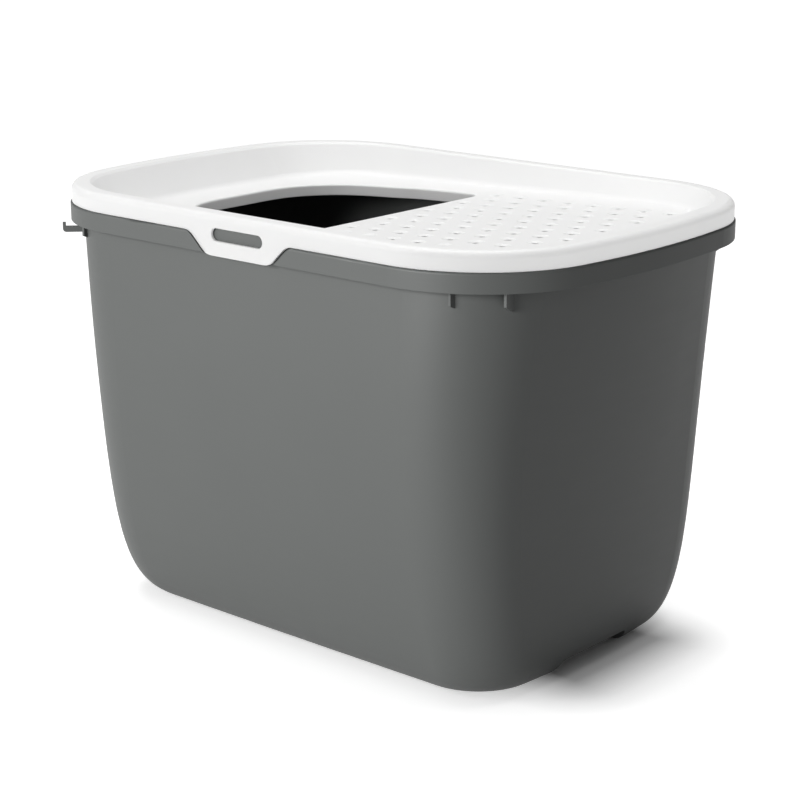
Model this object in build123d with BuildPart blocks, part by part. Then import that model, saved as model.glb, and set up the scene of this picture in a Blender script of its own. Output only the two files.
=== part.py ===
"""Top entry litter box: a deep moulded tub and a dished lid that lifts off.

Millimetres, +Z up. The origin is the middle of the footprint on the floor, +X runs along
the length towards the perforated end, and the front with the visible tab faces -Y.
"""

import os
from math import copysign, cos, pi, radians, sin, sqrt

from build123d import *

# Overall size
overall_height = 385.5
lid_half_length = 280.0
lid_half_width = 195.6
rim_corner = 113.0
rim_long_bow = 0.9
rim_end_bow = 27.9

# Lid: skirt, rolled shoulder, flat rim and the bevel at the rim's inner edge
lid_skirt_depth = 16.1
lid_skirt_wall = 2.5
lid_top_wall = 2.4
shoulder_radius = 6.0
shoulder_inner_radius = 3.5
rim_inset = 17.0
crest_share = 0.12
crest_growth = 1.3
crest_inset = 0.8

# Lid: the dish, whose floor rises towards the perforated end
dish_depth = 22.5
dish_slope = 0.03
dish_centre_x = 7.0
dish_half_length = 243.0
dish_half_width = 162.0
dish_corner = 78.0
dish_end_bow = 20.0
dish_foot_round = 9.0
dish_wall = 2.2
dish_wall_growth = 1.2

# Lid: entry opening and its turned-down lip
entry_left = -188.0
entry_right = 2.0
entry_half_width = 119.5
entry_corner = 17.0
entry_curve = ((-182.0, 62.0), (-152.0, 95.0), (-95.0, 111.0))
entry_side_end = (entry_right - entry_corner, entry_half_width)
lip_height = 10.5
lip_wall = 2.4
lip_round = 1.8

# Lid: staggered perforations, each at the bottom of a shallow dimple
hole_diameter = 5.6
dimple_diameter = 14.0
dimple_depth = 1.3
hole_pitch_x = 27.0
hole_pitch_y = 24.8
hole_field_x = 110.1
short_rows = (7, 5)
long_rows = (8, 6)

# Lid: tabs at the front and the back, each with an oblong finger slot
tab_depth = 34.4
tab_half_top = 62.0
tab_half_bottom = 29.0
tab_curve = ((50.5, 20.8), (39.0, 31.4))
slot_length = 58.4
slot_height = 10.8
slot_depth = 16.5
slot_cut = 6.0

# Tub: rim with its hanging skirt, and the raised wall that the lid sits over
seam_gap = 0.3
skirt_proud = 1.2
skirt_wall = 2.4
skirt_bottom_depth = 32.6
skirt_top_round = 1.8
raised_wall_inset = 3.2
raised_wall = 2.4
raised_wall_top_depth = 6.5
notch_left_gap = 0.5
notch_right_gap = 4.2
notch_side_wall = 2.4
pad_outer_inset = 1.0
pad_inner_inset = 12.5

# Tub: body
body_wall = 2.6
body_end_inset = 17.5
body_side_inset = 10.6
end_taper = 0.0664
side_taper = 0.1006
body_corner_top = 85.9
body_corner_bottom = 52.7
body_end_bow_top = 27.9
body_end_bow_bottom = 9.3
body_long_bow = 1.2
end_belly = -8.1
side_belly = 13.3
base_round_height = 192.8
base_round_end = 53.5
base_round_side = 41.6
base_round_power = 4.37
base_steps = 14
upper_steps = 5
channel_depth = 17.2
channel_half_top = 44.0
channel_half_bottom = 54.0
channel_round = 8.0

# Tub: fins under the rim at the four corners, each with its outer edge's place and its turn
# in degrees, and the scoop hook at one of the corners
fin_wall = 2.4
front_fins = ((208.8, 178.6, 0.0), (243.3, 154.4, 14.0))
back_fins = ((208.8, 178.6, 0.0), (242.0, 146.5, 14.0))
fin_reach = 30.0
fin_outer_depth = 44.0
fin_slant = 0.43
hook_place = (-241.0, -162.0)
hook_wall = 3.0
hook_inner_reach = 24.0
hook_outer_reach = 9.6
hook_bar_top_depth = 41.3
hook_bar_bottom_depth = 46.6
hook_tip_top_depth = 37.8
hook_tip_wall = 2.6
hook_round = 3.0

# Levels worked out from the sizes above
lid_skirt_z = overall_height - lid_skirt_depth
ledge_z = lid_skirt_z - seam_gap
skirt_bottom_z = overall_height - skirt_bottom_depth
flange_bottom_z = ledge_z - skirt_wall
raised_wall_top_z = overall_height - raised_wall_top_depth
tab_bottom_z = overall_height - tab_depth
tab_band_height = lid_skirt_z - tab_bottom_z + 1

floor_plane = Plane(
    origin=(0, 0, overall_height - dish_depth),
    x_dir=(1, 0, dish_slope),
    z_dir=(-dish_slope, 0, 1),
)


def outline(plane, half_length, half_width, corner, long_bow, end_bow, centre_x=0.0):
    """Rounded rectangle with outward bowed sides: eight arcs, each tangent to the next."""
    long_radius = (half_length**2 + long_bow**2) / (2 * long_bow)
    end_radius = (half_width**2 + end_bow**2) / (2 * end_bow)
    long_centre = Vector(0, half_width - long_radius)
    end_centre = Vector(half_length - end_radius, 0)
    span = (end_centre - long_centre).length
    to_long = long_radius - corner
    to_end = end_radius - corner
    along = (to_long**2 - to_end**2 + span**2) / (2 * span)
    across = sqrt(to_long**2 - along**2)
    direction = (end_centre - long_centre).normalized()
    outward = Vector(direction.Y, -direction.X)
    corner_centre = long_centre + direction * along + outward * across
    long_way = (corner_centre - long_centre).normalized()
    end_way = (corner_centre - end_centre).normalized()
    a = long_centre + long_way * long_radius
    b = corner_centre + (long_way + end_way).normalized() * corner
    c = end_centre + end_way * end_radius
    with BuildSketch(plane * Location((centre_x, 0, 0))) as sketch:
        with BuildLine():
            ThreePointArc((-a.X, a.Y), (0, half_width), (a.X, a.Y))
            ThreePointArc((a.X, a.Y), (b.X, b.Y), (c.X, c.Y))
            ThreePointArc((c.X, c.Y), (half_length, 0), (c.X, -c.Y))
            ThreePointArc((c.X, -c.Y), (b.X, -b.Y), (a.X, -a.Y))
            ThreePointArc((a.X, -a.Y), (0, -half_width), (-a.X, -a.Y))
            ThreePointArc((-a.X, -a.Y), (-b.X, -b.Y), (-c.X, -c.Y))
            ThreePointArc((-c.X, -c.Y), (-half_length, 0), (-c.X, c.Y))
            ThreePointArc((-c.X, c.Y), (-b.X, b.Y), (-a.X, a.Y))
        make_face()
    return sketch.sketch


def rim_sketch(inset, z):
    """The rim's outline at a height, drawn in by the inset."""
    return outline(
        Plane.XY.offset(z),
        lid_half_length - inset,
        lid_half_width - inset,
        rim_corner - inset,
        rim_long_bow,
        rim_end_bow,
    )


def body_sketch(z, wall):
    """The tub's outline: tapered, bellied and rounded in towards the floor.

    The wall draws it in and lifts it, so that the inner face stays clear of the outer one.
    """
    drop = skirt_bottom_z - z
    share = drop / skirt_bottom_z
    belly = 4 * share * (1 - share)
    near_base = max(1 - z / base_round_height, 0)
    rounding = 1 - (1 - near_base**base_round_power) ** (1 / base_round_power)
    end_inset = body_end_inset + drop * end_taper + base_round_end * rounding
    side_inset = body_side_inset + drop * side_taper + base_round_side * rounding
    return outline(
        Plane.XY.offset(z + wall),
        lid_half_length - end_inset + end_belly * belly - wall,
        lid_half_width - side_inset + side_belly * belly - wall,
        body_corner_top * (1 - share) + body_corner_bottom * share - wall,
        body_long_bow,
        body_end_bow_top * (1 - share) + body_end_bow_bottom * share,
    )


def body_levels(top_z):
    """Heights of the tub's sections: close together in the rounded base, then even."""
    angles = [pi / 2 * (step / base_steps) ** 1.4 for step in range(base_steps + 1)]
    base = [base_round_height * (1 - cos(angle) ** (2 / base_round_power)) for angle in angles]
    rise = (top_z - base_round_height) / upper_steps
    return base + [base_round_height + rise * step for step in range(1, upper_steps + 1)]


def channel_sketch(growth):
    """End view of the channel that runs between the two long feet."""
    with BuildSketch(Plane.YZ) as sketch:
        Polygon(
            (-channel_half_bottom, 0),
            (channel_half_bottom, 0),
            (channel_half_top, channel_depth),
            (-channel_half_top, channel_depth),
            align=None,
        )
        fillet(sketch.vertices().group_by(Axis.Y)[-1], radius=channel_round)
        if growth:
            offset(amount=growth)
    return sketch.sketch


def dish_sketch(share, growth, drop):
    """Outline of the dish, from the rim (share 0) down to its sloping floor (share 1)."""
    top_length = lid_half_length - rim_inset
    top_width = lid_half_width - rim_inset
    top_corner = rim_corner - rim_inset
    tilt = share * dish_slope
    height = overall_height - share * dish_depth - drop
    return outline(
        Plane(origin=(0, 0, height), x_dir=(1, 0, tilt), z_dir=(-tilt, 0, 1)),
        top_length + (dish_half_length - top_length) * share + growth,
        top_width + (dish_half_width - top_width) * share + growth,
        top_corner + (dish_corner - top_corner) * share + growth,
        rim_long_bow,
        rim_end_bow + (dish_end_bow - rim_end_bow) * share,
        dish_centre_x * share,
    )


def entry_sketch(growth):
    """The entry opening, grown by a wall: straight on one side, rounded at the far end."""
    with BuildLine() as half_edge:
        Spline((entry_left, 0), *entry_curve, entry_side_end, tangents=((0, 1), (1, 0)))
    edge = half_edge.edge()
    shares = [step / 12 for step in range(13)]
    side = [edge @ share + (edge % share).rotate(Axis.Z, 90) * growth for share in shares]
    corner = entry_corner + growth
    corner_x = entry_side_end[0]
    corner_y = entry_half_width - entry_corner
    with BuildSketch(floor_plane) as sketch:
        with BuildLine():
            Spline(side, tangents=((0, 1), (1, 0)))
            CenterArc((corner_x, corner_y), corner, 90, -90)
            Line((corner_x + corner, corner_y), (corner_x + corner, 0))
            mirror(about=Plane.XZ)
        make_face()
    return sketch.sketch


def is_entry_edge(edge):
    """Whether an edge of the lid lies on the dish's floor, round the entry opening."""
    middle = edge @ 0.5
    inside_x = entry_left - 1 < middle.X < entry_right + 1
    inside_y = abs(middle.Y) < entry_half_width + 1
    return inside_x and inside_y and abs(floor_plane.to_local_coords(middle).Z) < 0.01


def tab_sketch(plane, left_gap, right_gap):
    """A tab seen from outside, up to the lid's skirt, with a gap on each side."""
    way = [(tab_half_top, lid_skirt_z)]
    way += [(x, overall_height - depth) for x, depth in tab_curve]
    way += [(tab_half_bottom, tab_bottom_z)]
    left = [(-x - left_gap, z) for x, z in way]
    right = [(x + right_gap, z) for x, z in way]
    with BuildSketch(plane) as sketch:
        with BuildLine():
            Spline(left, tangents=((1, 0), (1, 0)))
            Line(left[-1], right[-1])
            Spline(right, tangents=((-1, 0), (-1, 0)))
            Polyline(left[0], (left[0][0], lid_skirt_z + 1), (right[0][0], lid_skirt_z + 1), right[0])
        make_face()
    return sketch.sketch


def upright_plane(side, y):
    """Upright plane that faces the front (side -1) or the back (side 1), heights along +Z."""
    return Plane(origin=(0, side * y, 0), x_dir=(-side, 0, 0), z_dir=(0, side, 0))


def fin_plane(x, y, turn):
    """Upright plane through a corner fin's outer edge, its own X axis running inwards."""
    inwards_x = -copysign(sin(radians(turn)), x)
    inwards_y = -copysign(cos(radians(turn)), y)
    return Plane(origin=(x, y, 0), x_dir=(inwards_x, inwards_y, 0), z_dir=(inwards_y, -inwards_x, 0))


# Space under the lid's rim
with BuildPart() as lid_space:
    extrude(rim_sketch(lid_skirt_wall, lid_skirt_z), amount=lid_skirt_depth - lid_top_wall)
    fillet(lid_space.faces().sort_by(Axis.Z)[-1].edges(), radius=shoulder_inner_radius)

# Underside of the dish
with BuildPart() as dish_under:
    loft(
        [
            dish_sketch(1, dish_wall_growth, dish_wall).face(),
            dish_sketch(0, dish_wall_growth, 1).face(),
        ]
    )
    fillet(dish_under.faces().sort_by(Axis.Z)[0].edges(), radius=dish_foot_round + dish_wall)

# Space inside the dish
with BuildPart() as dish_space:
    loft([dish_sketch(1, 0, 0).face(), dish_sketch(0, 0, 0).face()])
    fillet(dish_space.faces().sort_by(Axis.Z)[0].edges(), radius=dish_foot_round)

# Bevel that breaks the crest between the rim and the dish's wall
with BuildPart() as crest_space:
    loft(
        [
            dish_sketch(crest_share, -crest_inset, 0).face(),
            dish_sketch(0, crest_growth, 0).face(),
        ]
    )

# Both tabs, cut from a band that continues the skirt downwards
with BuildPart() as tabs:
    extrude(rim_sketch(0, tab_bottom_z), amount=tab_band_height)
    extrude(
        rim_sketch(lid_skirt_wall, tab_bottom_z), amount=tab_band_height, mode=Mode.SUBTRACT
    )
    extrude(
        tab_sketch(upright_plane(-1, 0), 0, 0),
        amount=lid_half_width + 2,
        both=True,
        mode=Mode.INTERSECT,
    )

# One perforation: a shallow dimple with the hole through its bottom
with BuildPart() as perforation:
    dimple_radius = ((dimple_diameter / 2) ** 2 + dimple_depth**2) / (2 * dimple_depth)
    with BuildSketch(Plane.XZ):
        with BuildLine():
            Line((0, -dimple_depth), (0, dimple_depth))
            Line((0, dimple_depth), (dimple_diameter / 2, dimple_depth))
            Line((dimple_diameter / 2, dimple_depth), (dimple_diameter / 2, 0))
            RadiusArc((dimple_diameter / 2, 0), (0, -dimple_depth), dimple_radius)
        make_face()
    revolve(axis=Axis.Z)
    Cylinder(hole_diameter / 2, 4 * dish_wall)

with BuildPart() as lid:
    extrude(rim_sketch(0, lid_skirt_z), amount=lid_skirt_depth)
    fillet(lid.faces().sort_by(Axis.Z)[-1].edges(), radius=shoulder_radius)
    add(lid_space.part, mode=Mode.SUBTRACT)
    add(tabs.part)
    for side in (-1, 1):
        with BuildSketch(upright_plane(side, lid_half_width + 1)):
            with Locations((0, overall_height - slot_depth)):
                SlotOverall(slot_length, slot_height)
        extrude(amount=-slot_cut, mode=Mode.SUBTRACT)
    add(dish_under.part)
    extrude(entry_sketch(lip_wall), amount=-lip_height)
    add(dish_space.part, mode=Mode.SUBTRACT)
    add(crest_space.part, mode=Mode.SUBTRACT)
    extrude(entry_sketch(0), amount=lip_height + 1, both=True, mode=Mode.SUBTRACT)
    with Locations(floor_plane):
        with Locations((hole_field_x, 0, 0)):
            with GridLocations(hole_pitch_x, 2 * hole_pitch_y, *short_rows):
                add(perforation.part, mode=Mode.SUBTRACT)
            with GridLocations(hole_pitch_x, 2 * hole_pitch_y, *long_rows):
                add(perforation.part, mode=Mode.SUBTRACT)
    fillet(lid.edges().filter_by(is_entry_edge), radius=lip_round)

# Space inside the tub, with a ridge along its floor over the channel
with BuildPart() as tub_space:
    loft([body_sketch(z, body_wall).face() for z in body_levels(ledge_z)])
    extrude(channel_sketch(body_wall), amount=lid_half_length, both=True, mode=Mode.SUBTRACT)

# Rim of the tub: ledge, hanging skirt, raised wall and the recesses behind the tabs
with BuildPart() as rim_band:
    extrude(rim_sketch(-skirt_proud, skirt_bottom_z), amount=ledge_z - skirt_bottom_z)
    fillet(rim_band.faces().sort_by(Axis.Z)[-1].edges(), radius=skirt_top_round)
    extrude(
        rim_sketch(skirt_wall - skirt_proud, skirt_bottom_z),
        amount=flange_bottom_z - skirt_bottom_z,
        mode=Mode.SUBTRACT,
    )
    extrude(rim_sketch(raised_wall_inset, ledge_z), amount=raised_wall_top_z - ledge_z)
    extrude(
        rim_sketch(raised_wall_inset + raised_wall, ledge_z),
        amount=raised_wall_top_z - ledge_z,
        mode=Mode.SUBTRACT,
    )
    for side in (-1, 1):
        pad_centre = side * (notch_left_gap - notch_right_gap) / 2
        pad_middle = lid_half_width - (pad_outer_inset + pad_inner_inset) / 2
        with Locations((pad_centre, side * pad_middle, skirt_bottom_z)):
            Box(
                2 * (tab_half_top + notch_side_wall) + notch_left_gap + notch_right_gap,
                pad_inner_inset - pad_outer_inset,
                ledge_z - skirt_bottom_z,
                align=(Align.CENTER, Align.CENTER, Align.MIN),
            )
        notch_plane = upright_plane(side, lid_half_width + skirt_proud + 1)
        extrude(
            tab_sketch(notch_plane, notch_left_gap, notch_right_gap),
            amount=-(raised_wall_inset + skirt_proud + 1),
            mode=Mode.SUBTRACT,
        )

with BuildPart() as base_tub:
    loft([body_sketch(z, 0).face() for z in body_levels(flange_bottom_z + 1)])
    extrude(channel_sketch(0), amount=lid_half_length, both=True, mode=Mode.SUBTRACT)
    add(rim_band.part)
    for side_y, fins in ((-1, front_fins), (1, back_fins)):
        for fin_x, fin_y, turn in fins:
            for side_x in (-1, 1):
                with BuildSketch(fin_plane(side_x * fin_x, side_y * fin_y, turn)):
                    Polygon(
                        (0, overall_height - fin_outer_depth),
                        (0, flange_bottom_z + 1),
                        (fin_reach, flange_bottom_z + 1),
                        (fin_reach, overall_height - fin_outer_depth - fin_slant * fin_reach),
                        align=None,
                    )
                extrude(amount=fin_wall / 2, both=True)
    with BuildSketch(Plane(origin=(*hook_place, 0), x_dir=(-1, -1, 0), z_dir=(-1, 1, 0))) as hook:
        tip_inner = hook_outer_reach - hook_tip_wall
        Polygon(
            (-hook_inner_reach, overall_height - hook_bar_bottom_depth),
            (hook_outer_reach, overall_height - hook_bar_bottom_depth),
            (hook_outer_reach, overall_height - hook_tip_top_depth),
            (tip_inner, overall_height - hook_tip_top_depth),
            (tip_inner, overall_height - hook_bar_top_depth),
            (-hook_inner_reach, overall_height - hook_bar_top_depth),
            align=None,
        )
        fillet(hook.vertices().sort_by(Axis.X)[-2:].sort_by(Axis.Y)[0], radius=hook_round)
    extrude(amount=hook_wall / 2, both=True)
    add(tub_space.part, mode=Mode.SUBTRACT)

base_tub.part.label = "base_tub"
lid.part.label = "lid"

os.makedirs("parts", exist_ok=True)
export_step(base_tub.part, "parts/base_tub.step")
export_step(lid.part, "parts/lid.step")
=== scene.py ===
"""Looks of the top entry litter box: two moulded plastics, a floor with painted light and a painted
shadow, and soft lamps.
"""

import logging
from dataclasses import dataclass
from enum import Enum
from typing import Any, Sequence

import bpy
import numpy as np
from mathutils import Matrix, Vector


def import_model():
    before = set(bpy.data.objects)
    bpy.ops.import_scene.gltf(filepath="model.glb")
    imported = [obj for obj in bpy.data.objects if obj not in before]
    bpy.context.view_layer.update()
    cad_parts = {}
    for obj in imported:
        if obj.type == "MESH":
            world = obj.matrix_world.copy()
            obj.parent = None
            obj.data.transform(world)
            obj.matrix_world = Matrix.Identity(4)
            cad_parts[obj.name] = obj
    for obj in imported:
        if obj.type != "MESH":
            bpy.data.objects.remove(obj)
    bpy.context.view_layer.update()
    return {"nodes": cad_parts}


log = logging.getLogger("litter_box")

Number = int | float
Colour = tuple[float, float, float]
Point = tuple[float, float, float]
Nodes = dict[str, bpy.types.Object]
Stops = Sequence[tuple[float, float]]


class MathOp(Enum):
    """The operations that shader expressions use."""

    ADD = "ADD"
    SUBTRACT = "SUBTRACT"
    MULTIPLY = "MULTIPLY"


class VectorOp(Enum):
    """The operations that places on the floor go through."""

    SUBTRACT = "SUBTRACT"
    ABSOLUTE = "ABSOLUTE"
    MAXIMUM = "MAXIMUM"
    LENGTH = "LENGTH"


class ShaderTree:
    """One material's node tree, with one method that makes every node."""

    def __init__(self, material: bpy.types.Material) -> None:
        """Empties the material's tree.

        Args:
            material: the material whose nodes are made here.
        """
        material.use_nodes = True
        self.tree = material.node_tree
        self.tree.nodes.clear()

    def node(self, kind: str, settings: dict[str, Any] | None = None, **inputs: Any) -> Any:
        """Makes a node, sets it up, then fills its sockets.

        Args:
            kind: the node's type name.
            settings: attributes set first, such as an operation, or a ramp's stops.
            inputs: socket values or links; underscores stand for spaces, and iN is input number N.

        Returns:
            The node.
        """
        made = self.tree.nodes.new(kind)
        for name, setting in (settings or {}).items():
            if name == "stops":
                self._set_stops(made.color_ramp, setting)
            else:
                setattr(made, name, setting)
        for name, filling in inputs.items():
            number = name[1:]
            socket = made.inputs[int(number) if number.isdigit() else name.replace("_", " ")]
            if isinstance(filling, Value):
                self.tree.links.new(filling.socket, socket)
            elif isinstance(filling, bpy.types.NodeSocket):
                self.tree.links.new(filling, socket)
            else:
                socket.default_value = filling
        return made

    @staticmethod
    def _set_stops(ramp: bpy.types.ColorRamp, stops: Stops) -> None:
        """Sets a ramp's stops in grey. It starts with two, and the others are added.

        Args:
            ramp: the ramp.
            stops: pairs of place and level, in rising order of place.
        """
        for index, (place, level) in enumerate(stops):
            if index < len(ramp.elements):
                element = ramp.elements[index]
                element.position = place
            else:
                element = ramp.elements.new(place)
            element.color = (level, level, level, 1.0)

    def value(self, socket: bpy.types.NodeSocket) -> "Value":
        """Wraps a socket so that Python's operators work on it."""
        return Value(self, socket)

    def vector(self, operation: VectorOp, first: Any, second: Any = None) -> Any:
        """Adds one Vector Math node.

        Args:
            operation: what it works out.
            first: its first vector.
            second: its second vector, where the operation has one.

        Returns:
            The node.
        """
        inputs = {"i0": first} if second is None else {"i0": first, "i1": second}
        return self.node("ShaderNodeVectorMath", {"operation": operation.value}, **inputs)


class Value:
    """A number on a surface: wraps a socket and adds Math nodes for the operators."""

    def __init__(self, owner: ShaderTree, socket: bpy.types.NodeSocket) -> None:
        """Keeps the tree and the socket.

        Args:
            owner: the tree that new nodes go into.
            socket: the output that holds the number.
        """
        self.owner = owner
        self.socket = socket

    def _join(self, operation: MathOp, first: Any, second: Any) -> "Value":
        """Adds one Math node.

        Args:
            operation: what it works out.
            first: its first number or value.
            second: its second number or value.

        Returns:
            The result.
        """
        made = self.owner.node("ShaderNodeMath", {"operation": operation.value}, i0=first, i1=second)
        return Value(self.owner, made.outputs[0])

    def __add__(self, other: Any) -> "Value":
        """Sum."""
        return self._join(MathOp.ADD, self, other)

    def __sub__(self, other: Any) -> "Value":
        """Difference."""
        return self._join(MathOp.SUBTRACT, self, other)

    def __rsub__(self, other: Number) -> "Value":
        """Difference from a number."""
        return self._join(MathOp.SUBTRACT, other, self)

    def __mul__(self, other: Any) -> "Value":
        """Product."""
        return self._join(MathOp.MULTIPLY, self, other)

    __radd__ = __add__
    __rmul__ = __mul__


@dataclass(frozen=True)
class MouldedPlastic:
    """Satin moulded plastic: a fine grain, a slight waviness and faint scuffs.

    The grain is fine noise that moves the normal, the waviness is slow noise that moves it
    too, the scuffs are stretched noise that changes the roughness, and a slow mottle darkens
    the colour a little. Scales are in features per metre, depths and edges in metres.
    """

    name: str
    colour: Colour
    roughness: float
    specular: float
    grain_scale: float
    grain_depth: float
    wave_scale: float
    wave_depth: float
    tone_spread: float
    scuff_spread: float
    soft_edge: float
    see_in: float = 0.0
    see_in_reach: Point = (0.003, 0.003, 0.0028)
    edge_samples: int = 4
    mottle_scale: float = 14.0
    mottle_detail: float = 3.0
    grain_detail: float = 2.0
    wave_detail: float = 1.0
    scuff_stretch: Point = (22.0, 22.0, 160.0)
    scuff_scale: float = 1.0
    scuff_detail: float = 4.0
    scuff_middle: float = 0.5

    def build(self) -> bpy.types.Material:
        """Makes the material.

        Returns:
            The material, with its noise read in Object coordinates.
        """
        material = bpy.data.materials.new(self.name)
        shader = ShaderTree(material)
        place = shader.node("ShaderNodeTexCoord").outputs["Object"]
        mottle = self._noise(shader, place, self.mottle_scale, self.mottle_detail)
        grain = self._noise(shader, place, self.grain_scale, self.grain_detail)
        wave = self._noise(shader, place, self.wave_scale, self.wave_detail)
        streaks = shader.node("ShaderNodeMapping", Vector=place, Scale=self.scuff_stretch)
        scuffs = self._noise(shader, streaks.outputs[0], self.scuff_scale, self.scuff_detail)
        tone = 1.0 - self.tone_spread * (1.0 - mottle)
        paint = shader.node(
            "ShaderNodeMix",
            {"data_type": "RGBA", "blend_type": "MULTIPLY"},
            i0=1.0,
            i6=(*self.colour, 1.0),
            i7=self._grey(shader, tone),
        )
        rough = self.roughness + self.scuff_spread * (scuffs - self.scuff_middle)
        height = grain * self.grain_depth + wave * self.wave_depth
        edge = shader.node("ShaderNodeBevel", {"samples": self.edge_samples}, Radius=self.soft_edge)
        bump = shader.node(
            "ShaderNodeBump", Strength=1.0, Distance=1.0, Height=height, Normal=edge.outputs[0]
        )
        body = shader.node(
            "ShaderNodeBsdfPrincipled",
            Base_Color=paint.outputs[2],
            Roughness=rough,
            Normal=bump.outputs[0],
            Specular_IOR_Level=self.specular,
        )
        if self.see_in:
            body.inputs["Subsurface Weight"].default_value = self.see_in
            body.inputs["Subsurface Radius"].default_value = self.see_in_reach
            body.inputs["Subsurface Scale"].default_value = 1.0
        shader.node("ShaderNodeOutputMaterial", Surface=body.outputs[0])
        return material

    @staticmethod
    def _noise(shader: ShaderTree, place: Any, scale: float, detail: float) -> Value:
        """Noise at a scale, about 0 to 1.

        Args:
            shader: the tree.
            place: the coordinates it reads.
            scale: features per metre, roughly.
            detail: how many finer layers it has.

        Returns:
            The noise.
        """
        made = shader.node("ShaderNodeTexNoise", Vector=place, Scale=scale, Detail=detail)
        return shader.value(made.outputs[0])

    @staticmethod
    def _grey(shader: ShaderTree, level: Value) -> Any:
        """Turns a value into a grey colour, one channel each."""
        made = shader.node("ShaderNodeCombineColor", Red=level, Green=level, Blue=level)
        return made.outputs[0]


@dataclass
class Moulding:
    """One moulding of the box, with the plastic that it is made of."""

    node: str
    finish: MouldedPlastic

    def dress(self, nodes: Nodes) -> None:
        """Gives the moulding's node its finish.

        Args:
            nodes: the CAD nodes by name.
        """
        put_material(nodes[self.node], self.finish.build())


@dataclass
class Tub(Moulding):
    """The dark tub, one moulding with its rim, skirt, fins and hook."""

    node: str = "base_tub"
    finish: MouldedPlastic = MouldedPlastic(
        name="tub_grey",
        colour=(0.042, 0.0442, 0.0429),
        roughness=0.5,
        specular=0.22,
        grain_scale=1500.0,
        grain_depth=0.00003,
        wave_scale=9.0,
        wave_depth=0.00004,
        tone_spread=0.05,
        scuff_spread=0.05,
        soft_edge=0.0008,
    )


@dataclass
class Lid(Moulding):
    """The white lid, one moulding with its dish, entry lip, perforations and tabs."""

    node: str = "lid"
    finish: MouldedPlastic = MouldedPlastic(
        name="lid_white",
        colour=(0.815, 0.815, 0.811),
        roughness=0.42,
        specular=0.4,
        grain_scale=1900.0,
        grain_depth=0.000012,
        wave_scale=8.0,
        wave_depth=0.00003,
        tone_spread=0.02,
        scuff_spread=0.05,
        soft_edge=0.0012,
        see_in=0.25,
    )


def put_material(piece: bpy.types.Object, material: bpy.types.Material) -> None:
    """Puts one material into every slot of a piece.

    Args:
        piece: the object to dress.
        material: what it gets.
    """
    if not piece.material_slots:
        piece.data.materials.append(material)
    for slot in piece.material_slots:
        slot.material = material
    log.info("%s wears %s", piece.name, material.name)


def add_object(name: str, data: bpy.types.ID) -> bpy.types.Object:
    """Adds an object to the scene.

    Args:
        name: its name.
        data: its mesh, lamp or camera.

    Returns:
        The object.
    """
    made = bpy.data.objects.new(name, data)
    bpy.context.scene.collection.objects.link(made)
    return made


def stand_and_aim(thing: bpy.types.Object, place: Point, aim: Point) -> None:
    """Stands a lamp or a camera somewhere and turns it to a point.

    Args:
        thing: the lamp or the camera.
        place: where it stands.
        aim: the point that it looks at.
    """
    thing.location = place
    thing.rotation_mode = "QUATERNION"
    thing.rotation_quaternion = (Vector(aim) - Vector(place)).to_track_quat("-Z", "Y")


@dataclass(frozen=True)
class Softbox:
    """An oblong area lamp that looks at a point, and lights one moulding alone if told to."""

    name: str
    place: Point
    aim: Point
    size: tuple[float, float]
    power: float
    only_on: str = ""

    def build(self, nodes: Nodes) -> None:
        """Makes the lamp.

        Args:
            nodes: the CAD nodes by name, one of which the lamp may be kept to.
        """
        lamp = bpy.data.lights.new(self.name, "AREA")
        lamp.shape = "RECTANGLE"
        lamp.size, lamp.size_y = self.size
        lamp.energy = self.power
        made = add_object(self.name, lamp)
        stand_and_aim(made, self.place, self.aim)
        if self.only_on:
            lit = bpy.data.collections.new(f"{self.name}_lit")
            lit.objects.link(nodes[self.only_on])
            made.light_linking.receiver_collection = lit


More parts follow.
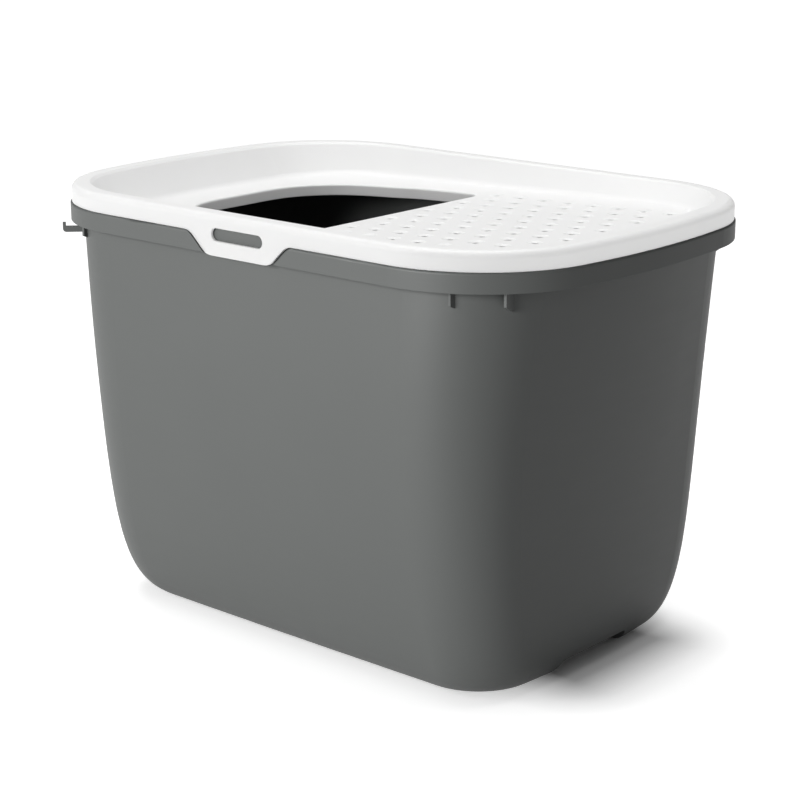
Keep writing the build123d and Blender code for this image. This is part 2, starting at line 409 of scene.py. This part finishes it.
@dataclass
class Studio:
    """White floor, softboxes, dim surround and the camera.

    The floor shines with painted light, except in an oblong under the tub, so the dark patch round
    the tub's foot is partly this painted shadow and only partly the lamps' own shadow.
    The painted light's stops pair a distance in metres from that oblong with the floor's brightness
    there.
    """

    floor_half: float = 12.0
    floor_drop: float = 0.0002
    floor_tone: float = 0.93
    floor_roughness: float = 0.85
    floor_specular: float = 0.1
    # Painted shadow: the middle and half size of the oblong under the tub where the floor gets no
    # painted light.
    shade_middle: Point = (0.0, 0.02, 0.0)
    shade_half: Point = (0.235, 0.06, 0.01)
    # Painted light: the floor's brightness by distance from that oblong, zero inside it, so it
    # paints the shadow too.
    painted_glow: Stops = ((0.0, 0.0), (0.03, 0.3), (0.06, 0.58), (0.3, 0.52), (1.0, 0.42), (6.0, 0.85))
    surround: float = 0.27
    lens: float = 91.81
    sensor_width: float = 36.0
    camera_place: Point = (1.15884, -1.33292, 0.69079)
    camera_aim: Point = (0.00603, -0.000826, 0.193191)
    boxes: tuple[Softbox, ...] = (
        Softbox("key_left_front", (-2.0, -2.3, 1.3), (0.0, 0.0, 0.2), (1.6, 1.8), 30.0),
        Softbox("top_box", (-0.3, 0.2, 3.0), (0.0, 0.0, 0.3), (2.6, 2.6), 68.0),
        Softbox("lid_box", (1.5, -1.6, 2.0), (0.0, 0.0, 0.35), (1.6, 1.6), 12.0, "lid"),
        Softbox("tub_box", (-0.3, -3.2, 1.1), (0.0, 0.0, 0.2), (1.8, 1.2), 262.0, "base_tub"),
    )

    def build(self, nodes: Nodes) -> None:
        """Makes the floor, the lamps, the surround and the camera.

        Args:
            nodes: the CAD nodes by name.
        """
        self._floor()
        self._surround()
        for box in self.boxes:
            box.build(nodes)
        self._camera()
        bpy.context.scene.view_settings.view_transform = "Standard"

    def _floor(self) -> None:
        """A square floor: 2 by 2 points, x and y each from -half to half, z just under zero."""
        spread = np.array([-self.floor_half, self.floor_half])
        x, y = np.meshgrid(spread, spread)
        points = np.stack([x.ravel(), y.ravel(), np.full(x.size, -self.floor_drop)], axis=1)
        mesh = bpy.data.meshes.new("floor")
        mesh.from_pydata(points.tolist(), [], [(0, 1, 3, 2)])
        floor = add_object("floor", mesh)
        put_material(floor, self._paper_with_painted_light())

    def _paper_with_painted_light(self) -> bpy.types.Material:
        """The floor's matt white paper, with painted light: it shines brighter away from the tub and
        not at all in an oblong under it, which paints a shadow there.

        Returns:
            The material. Its ramp runs over 0 to 1, so distances are divided by the furthest.
        """
        material = bpy.data.materials.new("floor_paper_painted_light")
        shader = ShaderTree(material)
        furthest = self.painted_glow[-1][0]
        reach = self._beyond_shade(shader) * (1.0 / furthest)
        stops = [(place / furthest, level) for place, level in self.painted_glow]
        # Painted light and painted shadow: the floor's emission, none in the oblong under the tub.
        painted_glow = shader.node("ShaderNodeValToRGB", {"stops": stops}, i0=reach)
        paper = shader.node(
            "ShaderNodeBsdfPrincipled",
            Base_Color=(self.floor_tone, self.floor_tone, self.floor_tone, 1.0),
            Roughness=self.floor_roughness,
            Specular_IOR_Level=self.floor_specular,
            Emission_Color=painted_glow.outputs[0],
            Emission_Strength=1.0,
        )
        shader.node("ShaderNodeOutputMaterial", Surface=paper.outputs[0])
        return material

    def _beyond_shade(self, shader: ShaderTree) -> Value:
        """How far a spot of the floor lies outside the oblong of painted shadow, where the floor has
        no painted light.

        It is the length of max(|spot - middle| - half, 0), taken axis by axis.

        Args:
            shader: the floor's tree.

        Returns:
            The distance in metres, zero inside the oblong.
        """
        spot = shader.node("ShaderNodeTexCoord").outputs["Object"]
        moved = shader.vector(VectorOp.SUBTRACT, spot, self.shade_middle)
        folded = shader.vector(VectorOp.ABSOLUTE, moved.outputs[0])
        past = shader.vector(VectorOp.SUBTRACT, folded.outputs[0], self.shade_half)
        outside = shader.vector(VectorOp.MAXIMUM, past.outputs[0], (0.0, 0.0, 0.0))
        away = shader.vector(VectorOp.LENGTH, outside.outputs[0])
        return shader.value(away.outputs["Value"])

    def _surround(self) -> None:
        """An even, dim white all round, which is mid-grey where it shows above the floor."""
        world = bpy.data.worlds.new("surround")
        bpy.context.scene.world = world
        world.use_nodes = True
        back = world.node_tree.nodes["Background"]
        back.inputs["Color"].default_value = (1.0, 1.0, 1.0, 1.0)
        back.inputs["Strength"].default_value = self.surround

    def _camera(self) -> None:
        """The camera at the photograph's angle."""
        data = bpy.data.cameras.new("camera")
        data.lens = self.lens
        data.sensor_width = self.sensor_width
        camera = add_object("camera", data)
        stand_and_aim(camera, self.camera_place, self.camera_aim)
        bpy.context.scene.camera = camera


def main() -> None:
    """Loads the frame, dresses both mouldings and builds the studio."""
    logging.basicConfig(level=logging.INFO, format="%(name)s: %(message)s")
    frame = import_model()
    Tub().dress(frame["nodes"])
    Lid().dress(frame["nodes"])
    Studio().build(frame["nodes"])


if __name__ == "__main__":
    main()
